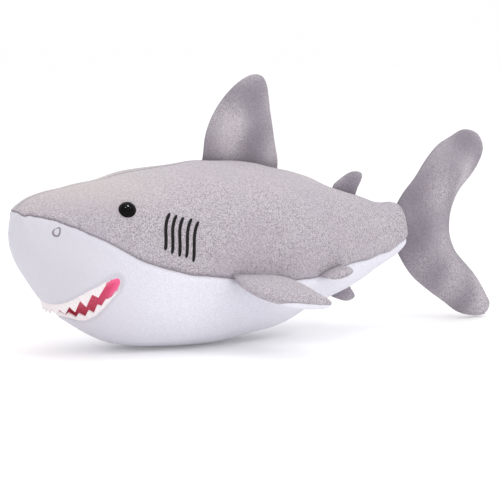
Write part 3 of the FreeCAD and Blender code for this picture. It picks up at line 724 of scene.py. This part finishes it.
def belly_panel():
    """The white belly, all round the nose and from seam to seam behind it, sunk inside the
    lips into a pocket. The lips roll over in a quarter circle; the pocket is the lining."""
    start = np.linspace(0, seam_start, 12)[:-1]
    head = np.linspace(seam_start, track_at(-150), 92)
    rest = np.linspace(track_at(-150), torso_end, 96)[1:]
    track = np.concatenate([start, head, rest])[:, None]
    share = np.linspace(-1, 1, BELLY_COLUMNS + 1)[None, :]
    turned = (seam_at(track) + math.pi / 2) * share
    spots = np.stack([track + 0 * turned, turned * MOUTH_RADIUS], -1)
    flat = spots.reshape(-1, 2)
    near = (flat[:, 0] < track_at(-148)) & (flat[:, 0] > track_at(-207))
    reach = np.full(len(flat), -50.0)
    found, nearest = mouth_reach(flat[near])
    line = np.where(np.abs(found - LIP_ROLL) < 0.8, LIP_ROLL, 0)
    line = np.where(np.abs(found) < 0.6, 1e-3, line)
    away = unit(flat[near] - nearest) * np.sign(found)[:, None]
    settle = (line > 0) & (np.abs(found) > 1e-2)
    moved = np.where(settle[:, None], nearest + away * line[:, None], flat[near])
    flat[near] = moved
    reach[near] = np.where(settle, line, found)
    reach = reach.reshape(turned.shape)
    spots = flat.reshape(spots.shape)
    track = spots[..., 0]
    angle = spots[..., 1] / MOUTH_RADIUS - math.pi / 2
    base = torso_skin(track, angle)
    arc = arc_lengths(base) / 2
    off_seam = (1 - np.abs(share)) * arc
    outwards = torso_outwards(track, angle)
    even = np.broadcast_to(spots[:, :1, 0], track.shape)
    points = puckered(even, angle, base, off_seam, 99 + 0 * off_seam)
    roll = np.clip(reach, 0, LIP_ROLL)
    sunk = LIP_ROLL - np.sqrt(np.maximum(LIP_ROLL ** 2 - roll ** 2, 0))
    sunk = sunk + (MOUTH_DEPTH - LIP_ROLL) * ease((reach - LIP_ROLL) / 4.5)
    middle = np.array([-160.0, 0, 62.0])
    target = middle + (base - middle) * [0, 0.45, 0]
    inwards = unit(unit(target - base) - outwards * 0.8)
    points = points + inwards * sunk[..., None]
    # Painted shade along the edge where the lip rolls into the mouth, added to the painted shade
    # along the seams.
    lip = np.exp(-((reach + 0.5) / 1.4) ** 2) * 0.5 * (reach < 3)
    crease_shade = np.exp(-(off_seam / 0.8) ** 2) * (even > seam_start - 1)
    crease_shade = np.clip(crease_shade + lip, 0, 1)
    faces = quads(*track.shape)
    middle_reach = reach.ravel()[faces].mean(1)
    lining = middle_reach > LIP_ROLL
    piece = add_piece("belly_panel_plush", points, faces[~lining], "white_plush",
                      BODY_MIDDLE, crease_shade, subdivide=1)
    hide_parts("belly_panel", "body_stuffing")
    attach(piece, "torso")
    pocket = add_piece("mouth_lining_fabric", points, faces[lining], "mouth_fabric",
                       BODY_MIDDLE, crease_shade, subdivide=1)
    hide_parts("mouth_lining")
    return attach(pocket, "torso")


def drop_loose(piece):
    """Points that no face uses are removed."""
    form = bmesh.new()
    form.from_mesh(piece.data)
    loose = [vert for vert in form.verts if not vert.link_faces]
    bmesh.ops.delete(form, geom=loose, context="VERTS")
    form.to_mesh(piece.data)
    form.free()


for side, name in ((-1, "left"), (1, "right")):
    back_panel(side, name)
belly_panel()
for name in ("belly_panel_plush", "mouth_lining_fabric"):
    drop_loose(bpy.data.objects[name])


def skin_spots(points, lift=0.0):
    """Points brought onto the torso's finished skin, and the outward direction there."""
    track, lean = angle_of(points)
    angle = np.where(points[:, 1] > 0, lean, math.pi - lean)
    base = torso_skin(track, angle)
    outwards = torso_outwards(track, angle)
    slow = unevenness(base)
    rows = smooth(track, swelling_track, swelling[..., 0])[..., None]
    puff = ring_sample(rows, (angle / (2 * math.pi) * RING_COLUMNS)[:, None])[:, 0, 0]
    height = puff - PUFF_SINK + slow + lift
    return base + outwards * height[:, None], outwards


# ---- teeth ---------------------------------------------------------------------------

UPPER_TEETH = [(4.2, 9.0), (15.6, 9.0), (27, 9.5), (38.6, 11.2), (49.8, 12.0), (60.8, 9.6)]
LOWER_TEETH = [(5.9, 9.5), (15.3, 9.5), (24.6, 9.8), (34, 10.2), (43.3, 9.6), (52.7, 7.0)]


def tooth_strip(name, lip, teeth, band, way, hug, sunk, node):
    """A strip of felt behind a lip, cut to points: straight sides rise from the band
    between the teeth to each tip, and the strip's two faces are joined round its edge. It
    stands upright, or hugs the line of the skin."""
    whole = np.vstack([lip[:0:-1] * [1, -1, 1], lip])
    count = len(whole)
    line = smooth(np.linspace(0, count - 1, 181), np.arange(count).astype(float), whole)
    walked = lengths_along(line)
    walked = walked - walked[-1] / 2
    tips = np.array([[-at, tall] for at, tall in teeth[::-1]] + [[at, tall] for at, tall in teeth])
    between = (tips[1:, 0] + tips[:-1, 0]) / 2
    pitch = teeth[-1][0] - teeth[-2][0]
    knots = np.concatenate([[tips[0, 0] - pitch * 0.62], between, [tips[-1, 0] + pitch * 0.62]])
    level = np.concatenate([[band * 0.7], np.full(len(between), band), [band * 0.7]])
    ends = walked[-1] * (0.99 if way > 0 else 0.86)
    corners = np.concatenate([knots, tips[:, 0], [-ends, ends]])
    heights = np.concatenate([level, tips[:, 1], [0.6, 0.6]])
    order = corners.argsort()
    corners, heights = corners[order], heights[order]
    fine = np.unique(np.round(np.concatenate([np.linspace(-ends, ends, 200), corners]), 1))
    tall = np.interp(fine, corners, heights)
    root = np.stack([np.interp(fine, walked, line[:, k]) for k in range(3)], 1)
    on_skin, outwards = skin_spots(root)
    upright_way = np.array([0, 0, float(way)])
    along_skin = unit(upright_way - outwards * outwards[:, 2:] * way)
    rise = unit(upright_way * (1 - hug) + along_skin * hug)
    root = on_skin - outwards * sunk - rise * 2.5
    steps = np.linspace(0, 1, 9)[None, :, None]
    curl = outwards[:, None] * (0.9 * steps * steps)
    face = root[:, None] + rise[:, None] * (tall[:, None, None] + 2.5) * steps + curl
    along = unit(np.gradient(root, axis=0))
    flat = unit(np.cross(rise, along))
    flat = flat * np.sign(np.sum(flat * outwards, -1, keepdims=True) + 1e-6)
    thick = flat[:, None] * 0.6
    ring = np.concatenate([face + thick, (face - thick)[:, ::-1]], axis=1)
    rows, columns = ring.shape[:2]
    faces = quads(rows, columns, closed=True)
    piece = add_piece(name, ring, faces, "white_felt")
    form = bmesh.new()
    form.from_mesh(piece.data)
    bmesh.ops.holes_fill(form, edges=[e for e in form.edges if e.is_boundary], sides=0)
    bmesh.ops.recalc_face_normals(form, faces=form.faces)
    form.to_mesh(piece.data)
    form.free()
    edge = piece.modifiers.new("soft_edge", "BEVEL")
    edge.width = 0.2 * MM
    edge.segments = 2
    edge.limit_method = "ANGLE"
    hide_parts(node)
    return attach(piece, "torso")


tooth_strip("upper_teeth_felt", UPPER_LIP[:-1], UPPER_TEETH, 4.6, -1, 0.4, 1.6, "upper_teeth")
tooth_strip("lower_teeth_felt", LOWER_LIP[:-1], LOWER_TEETH, 5.0, 1, 0.9, 1.3, "lower_teeth")


# ---- embroidery ----------------------------------------------------------------------

def swept(path, across, outwards, width, height, around, ends):
    """A flattened round profile carried along a path: half the width across it and half
    the height away from the skin, shrinking to its ends where they aren't joined."""
    turn = np.arange(around) * 2 * math.pi / around
    share = np.linspace(-1, 1, len(path))
    close = np.sqrt(np.clip(1 - np.abs(share) ** 14, 0, 1)) if ends else np.ones(len(path))
    side = across[:, None] * (np.cos(turn) * width / 2)[None, :, None]
    lift = outwards[:, None] * (np.sin(turn) * height / 2)[None, :, None]
    return path[:, None] + (side + lift) * close[:, None, None]


def satin_line(points, width, height, closed, lift=0.1):
    """A line of satin stitches on the skin: a flattened bar whose width and height waver
    from one strand to the next. Gives its points, faces and unrolled places."""
    path, outwards = skin_spots(points, lift)
    heading = np.gradient(path, axis=0)
    if closed:
        heading = (np.roll(path, -1, axis=0) - np.roll(path, 1, axis=0)) / 2
    across = unit(np.cross(outwards, heading))
    walked = lengths_along(path)
    ring = swept(path, across, outwards, width, height, 12, not closed)
    strand = 1 + 0.07 * np.sin(walked * 2 * math.pi / 0.85 + 0.6 * np.sin(walked * 1.7))
    ring = path[:, None] + (ring - path[:, None]) * strand[:, None, None]
    rows = len(path)
    if closed:
        ring = np.vstack([ring, ring[:1]])
        rows += 1
        walked = np.append(walked, walked[-1] + 0.3)
    places = np.stack(np.broadcast_arrays(walked[:, None], np.arange(12) / 12.0), -1)
    return ring.reshape(-1, 3), quads(rows, 12, closed=True), places.reshape(-1, 2)


def joined(parts):
    """Several grids of points, faces and places as one."""
    points, faces, places, count = [], [], [], 0
    for ring, cells, spots in parts:
        points.append(ring)
        faces.append(cells + count)
        places.append(spots)
        count += len(ring)
    return np.vstack(points), np.vstack(faces), np.vstack(places)


def gill_stitches(side, name):
    """Five slightly bowed satin lines."""
    parts = []
    share = np.linspace(0, 1, 150)[:, None]
    for upper, lower in GILLS:
        upper, lower = np.array(upper) * [1, side, 1], np.array(lower) * [1, side, 1]
        line = upper + (lower - upper) * share
        line = line + np.array([-16.0, 0, 0]) * share * (1 - share) ** 2
        parts.append(satin_line(line, 2.5, 1.8, False))
    points, faces, places = joined(parts)
    piece = add_piece("gill_stitches_%s_satin" % name, points, faces, "black_thread", uv=places)
    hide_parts("gill_stitches_" + name)
    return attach(piece, "torso")


def nostril_stitch(side, name):
    """A ring of satin stitches shaped as a drop, wide in front and narrow behind."""
    turn = np.arange(110) * 2 * math.pi / 110
    wide = 2.35 * (1 + 0.42 * np.cos(turn))
    long_way = np.cos(turn) * 4.3
    short_way = np.sin(turn) * wide
    lean = math.radians(58)
    back = -long_way * math.cos(lean) + short_way * math.sin(lean)
    up = -long_way * math.sin(lean) - short_way * math.cos(lean)
    line = np.stack([-201.7 + back * 0.85, side * (34.8 + 0.7 * back), 101.3 + up], 1)
    points, faces, places = satin_line(line, 1.25, 0.9, True, 0.15)
    piece = add_piece("nostril_stitch_%s_satin" % name, points, faces, "grey_thread", uv=places)
    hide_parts("nostril_stitch_" + name)
    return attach(piece, "torso")


for side, name in ((-1, "left"), (1, "right")):
    gill_stitches(side, name)
    nostril_stitch(side, name)


# ---- fins ----------------------------------------------------------------------------

FIN_RINGS = 30
FIN_COLUMNS = 32
FIN_ROWS = 64
FIN_SIDE = 40


def fin_sleeve(outline, chord, span, thickness, rows, columns, wrap):
    """Ovals from the front edge to the rear edge of each section, thickest in the middle
    and pinched to a ridge at the sewn edges. The seam on the front edge is turned under by
    the wrap, which fades out towards the tip. Local x, y, z."""
    outline = np.asarray(outline, float)
    scale = np.array([chord, span, chord, span])
    steps = lengths_along(outline[:, :4] * scale)
    at = steps[-1] * rows
    table = smooth(at, steps, outline)
    front = table[:, 0:2] * scale[:2]
    rear = table[:, 2:4] * scale[2:]
    thick = np.maximum(table[:, 4], 0.01) * thickness / 2
    lean = wrap * (1 - ease((rows - 0.45) / 0.35))[:, None] * (np.abs(columns - 0.5) * 2)[None, :]
    turn = columns[None, :] * 2 * math.pi - lean
    middle, half = (front + rear) / 2, (rear - front) / 2
    flat = middle[:, None] + half[:, None] * -np.cos(turn)[..., None]
    rise = thick[:, None] * power(np.sin(turn), 0.92)
    return np.concatenate([flat, rise[..., None]], -1)


def fin(name, outline, sizes, base, x_axis, y_axis, panels, poles, held, cap=4.0,
        shade=0.0, wrap=0.0):
    """A stuffed fin of two panels: its sleeve, blown up as cloth from a thinner start, is
    cut along the sewn edge into the two panels, each gathered a little at the seam."""
    chord, span, thickness = sizes
    x_axis = unit(np.array(x_axis, float))
    y_axis = np.array(y_axis, float)
    y_axis = unit(y_axis - x_axis * (x_axis @ y_axis))
    axes = np.stack([x_axis, y_axis, np.cross(x_axis, y_axis)])
    rows = np.linspace(0, 1, FIN_RINGS)
    columns = np.arange(FIN_COLUMNS) / FIN_COLUMNS
    slim = 0.82
    coarse = fin_sleeve(outline, chord, span, thickness * slim, rows, columns, wrap)
    pinned = held(coarse)
    moved = swell(name + "_cloth", coarse, pinned, poles, 6.0, cap)
    moved[..., :2] *= 0.1
    fine_rows = np.linspace(0, 1, FIN_ROWS)
    fine = fin_sleeve(outline, chord, span, thickness * slim, fine_rows,
                      np.linspace(0, 1, 2 * FIN_SIDE + 1), wrap)
    shift = smooth(fine_rows, rows, moved.reshape(FIN_RINGS, -1))
    shift = shift.reshape(FIN_ROWS, FIN_COLUMNS, 3)
    at = np.broadcast_to(np.linspace(0, FIN_COLUMNS, 2 * FIN_SIDE + 1), fine.shape[:2])
    local = fine + ring_sample(shift, at)
    edge = np.abs(np.sin(np.linspace(0, 2 * math.pi, 2 * FIN_SIDE + 1)))[None, :]
    off_edge = np.abs(local[..., 2]) + edge * 3
    gather = ripple(local, 7, 21) * 0.30 * np.exp(-(off_edge / 5) ** 2)
    slow = ripple(local + len(name) * 13, 34, 22) * 0.55 * edge
    slow = slow + ripple(local + len(name) * 7, 62, 23) * 0.75 * edge
    sign = np.sign(fine[..., 2])
    local[..., 2] += sign * (gather * edge + slow) * min(1, thickness / 14)
    points = np.asarray(base) + local @ axes
    off_root = local[..., 0 if poles[0] else 1]
    # Painted shade along the sewn edge and at the fin's root, where it meets the torso.
    root_shade = np.exp(-np.maximum(off_root + 3, 0) / (2 + span * 0.05))
    crease_shade = 0.75 * np.exp(-(off_edge / 1.0) ** 2) + 0.8 * root_shade
    crease_shade = np.clip(crease_shade, 0, 1)
    # Painted shade in patches over the fin, together with its pile lie.
    fin_lie_and_shade = np.clip(shade * (0.95 + 0.65 * ripple(points, 38, 31)), 0, 1.4)
    made = []
    for number, (piece_name, node, slot) in enumerate(panels):
        part = slice(0, FIN_SIDE + 1) if number == 0 else slice(FIN_SIDE, None)
        grid = points[:, part]
        faces = quads(FIN_ROWS, FIN_SIDE + 1)
        piece = add_piece(piece_name, grid, faces, slot, points.reshape(-1, 3).mean(0),
                          crease_shade[:, part] + 0 * grid[..., 0], subdivide=1,
                          pile_lie_and_shade=fin_lie_and_shade[:, part])
        nodes = [node] + ([name + "_stuffing"] if number == 0 else [])
        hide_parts(*nodes)
        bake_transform(piece)
        made.append(piece)
    return made


def metres(point):
    """A point in millimetres as a tuple in metres."""
    return tuple(float(c) * MM for c in point)


def root_held(span):
    """Holds the rings of a fin's sleeve that lie inside the torso or at its skin."""
    return lambda grid: np.where(grid[..., 1] < span * 0.05, 1.0, 0.0)


def upright(name, outline, sizes, base, x_axis, y_axis, fade):
    """A fin on the middle of the back or belly, sewn from a left and a right panel."""
    base, out = np.array(base, float), unit(np.array(y_axis, float))
    left_first = np.cross(x_axis, y_axis)[1] < 0
    sides = ("left", "right") if left_first else ("right", "left")
    panels = [("%s_%s_plush" % (name, s), "%s_%s" % (name, s), "grey_plush") for s in sides]
    blend = (metres(base - out * 4), metres(base + out * fade))
    fin(name, outline, sizes, base, x_axis, y_axis, panels, (False, True),
        root_held(sizes[1]), shade=0.85)


upright("dorsal_fin", DORSAL, (69, 69, 17), (-60.4, 0, 153.2), (0.993, 0, -0.116),
        (0.116, 0, 0.993), 12)
upright("rear_dorsal_fin", SMALL, (23, 17, 9.5), (62.3, 0, 123.6), (0.945, 0, -0.326),
        (0.326, 0, 0.945), 6)
upright("anal_fin", SMALL, (20, 12, 8.5), (60.2, 0, 28.8), (0.916, 0, 0.402),
        (0.402, 0, -0.916), 6)


def flank_fin(name, side, outline, sizes, base, x_axis, y_axis, fade, under):
    """A fin on a flank, sewn from a top panel and an underside panel."""
    turn = np.array([1, -side, 1])
    base, x_axis, y_axis = (np.array(v, float) * turn for v in (base, x_axis, y_axis))
    out = unit(y_axis)
    names = ["top", "underside"] if np.cross(x_axis, y_axis)[2] > 0 else ["underside", "top"]
    slots = {"top": "grey_plush", "underside": under}
    panels = [("%s_%s_plush" % (name, n), "%s_%s" % (name, n), slots[n]) for n in names]
    blend = (metres(base - out * 5), metres(base + out * fade))
    fin(name, outline, sizes, base, x_axis, y_axis, panels, (False, True),
        root_held(sizes[1]), wrap=1.1 if names[0] == "top" else -1.1)


for side, word in ((-1, "left"), (1, "right")):
    flank_fin("pectoral_fin_" + word, side, PECTORAL, (58, 46, 20), (-69.1, -72.8, 61.4),
              (0.984, 0.117, -0.135), (0.055, -0.962, -0.268), 12, "white_plush")
    flank_fin("pelvic_fin_" + word, side, PELVIC, (27, 12.5, 8.5), (19.0, -56.6, 54.8),
              (0.937, 0.273, 0.216), (0.307, -0.940, -0.148), 6, "grey_plush")

fin("tail_fin", TAIL, (99, 166, 25), (125, 0, 0.8), (1, 0, 0), (0, 0, 1),
    [("tail_fin_right_plush", "tail_fin_right", "grey_plush"),
     ("tail_fin_left_plush", "tail_fin_left", "grey_plush")],
    (True, True),
    lambda grid: np.where(grid[..., 0] < 6, 1.0, 0.0), cap=5.0, shade=0.8)


# ---- pieces kept from the frame ------------------------------------------------------

for name, slot in (("eye", "eye_plastic"), ("eye_washer", "washer_plastic")):
    for side in ("left", "right"):
        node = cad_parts["%s_%s" % (name, side)]
        node.data.materials.clear()
        node.data.materials.append(FINISHES[slot])
        node.data.polygons.foreach_set("use_smooth", np.ones(len(node.data.polygons), bool))


# ---- floor, lights and camera --------------------------------------------------------

CAMERA_DISTANCE = 1.5
CATCHLIGHT_DISTANCE = 1.4
CAMERA_TARGET = np.array([-0.0175, 0, 0.0725])
azimuth, elevation = math.radians(-28), math.radians(7)
camera_place = CAMERA_TARGET + CAMERA_DISTANCE * np.array([
    math.sin(azimuth) * math.cos(elevation), -math.cos(azimuth) * math.cos(elevation),
    math.sin(elevation)])


def studio():
    """A pale floor, an even white surround and three lamps."""
    floor = bpy.data.meshes.new("floor")
    reach = 8.0
    corners = [(-reach, -reach, 0), (reach, -reach, 0), (reach, reach, 0), (-reach, reach, 0)]
    floor.from_pydata(corners, [], [(0, 1, 2, 3)])
    ground = bpy.data.objects.new("floor", floor)
    bpy.context.scene.collection.objects.link(ground)
    paper = Finish("pale_floor", Roughness=0.9, Emission_Color=(1, 1, 1, 1),
                   Emission_Strength=0.08)
    grain = paper.noise(3, 2, 0.5)
    floor.materials.append(paper.paint(
        paper.mix(grain, colour(0.97, 0.97, 0.972), colour(0.985, 0.985, 0.985))))
    world = bpy.data.worlds.new("studio")
    bpy.context.scene.world = world
    world.use_nodes = True
    background = world.node_tree.nodes["Background"]
    background.inputs["Color"].default_value = (1.0, 0.995, 1.0, 1)
    background.inputs["Strength"].default_value = 1.0
    for name, place, side, power_w, aim in (
            ("key", (0.75, -1.5, 1.5), 0.45, 6, (-0.05, 0, 0.08)),
            ("glint", (-0.35, -1.6, 0.75), 0.16, 0.9, (-0.1, 0, 0.1)),
            ("top", (-0.1, 0.1, 1.9), 1.2, 5, (0, 0, 0.1))):
        light = bpy.data.lights.new(name, "AREA")
        light.energy = power_w
        light.size = side
        lamp = bpy.data.objects.new(name, light)
        bpy.context.scene.collection.objects.link(lamp)
        aim_at(lamp, place, aim)


def catchlight(name, left, up, side, power_w):
    """A lamp that only glossy surfaces show, placed where the left eye mirrors it towards
    the camera: left and up of the eye's middle, as shares of the tilt of its dome."""
    corners = [np.array([v.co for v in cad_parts[n].data.vertices]).mean(0)
               for n in ("eye_washer_left", "eye_left")]
    outward = unit(corners[1] - corners[0])
    view = unit(camera_place - corners[1])
    sideways = unit(np.cross(view, [0, 0, 1.0]))
    tilt = unit(outward + left * sideways + up * np.array([0, 0, 1.0]))
    place = corners[1] + (2 * (tilt @ view) * tilt - view) * CATCHLIGHT_DISTANCE
    light = bpy.data.lights.new(name, "AREA")
    light.energy = power_w
    light.size = side
    lamp = bpy.data.objects.new(name, light)
    lamp.visible_diffuse = False
    bpy.context.scene.collection.objects.link(lamp)
    aim_at(lamp, tuple(place), tuple(corners[1]))


def aim_at(item, place, target):
    """Puts a lamp or the camera in its place, looking at the target."""
    item.location = place
    item.rotation_euler = (Vector(target) - Vector(place)).to_track_quat("-Z", "Y").to_euler()


def camera():
    """The main view, from the front left and a little above."""
    view = bpy.data.cameras.new("camera")
    view.lens = 131.22
    view.sensor_width = 36
    item = bpy.data.objects.new("camera", view)
    bpy.context.scene.collection.objects.link(item)
    aim_at(item, tuple(camera_place), tuple(CAMERA_TARGET))
    bpy.context.scene.camera = item


studio()
catchlight("catchlight", 0.02, 0.10, 0.26, 32)
catchlight("low_catchlight", 0.26, -0.14, 0.16, 8)
camera()
bpy.context.scene.view_settings.view_transform = "Standard"
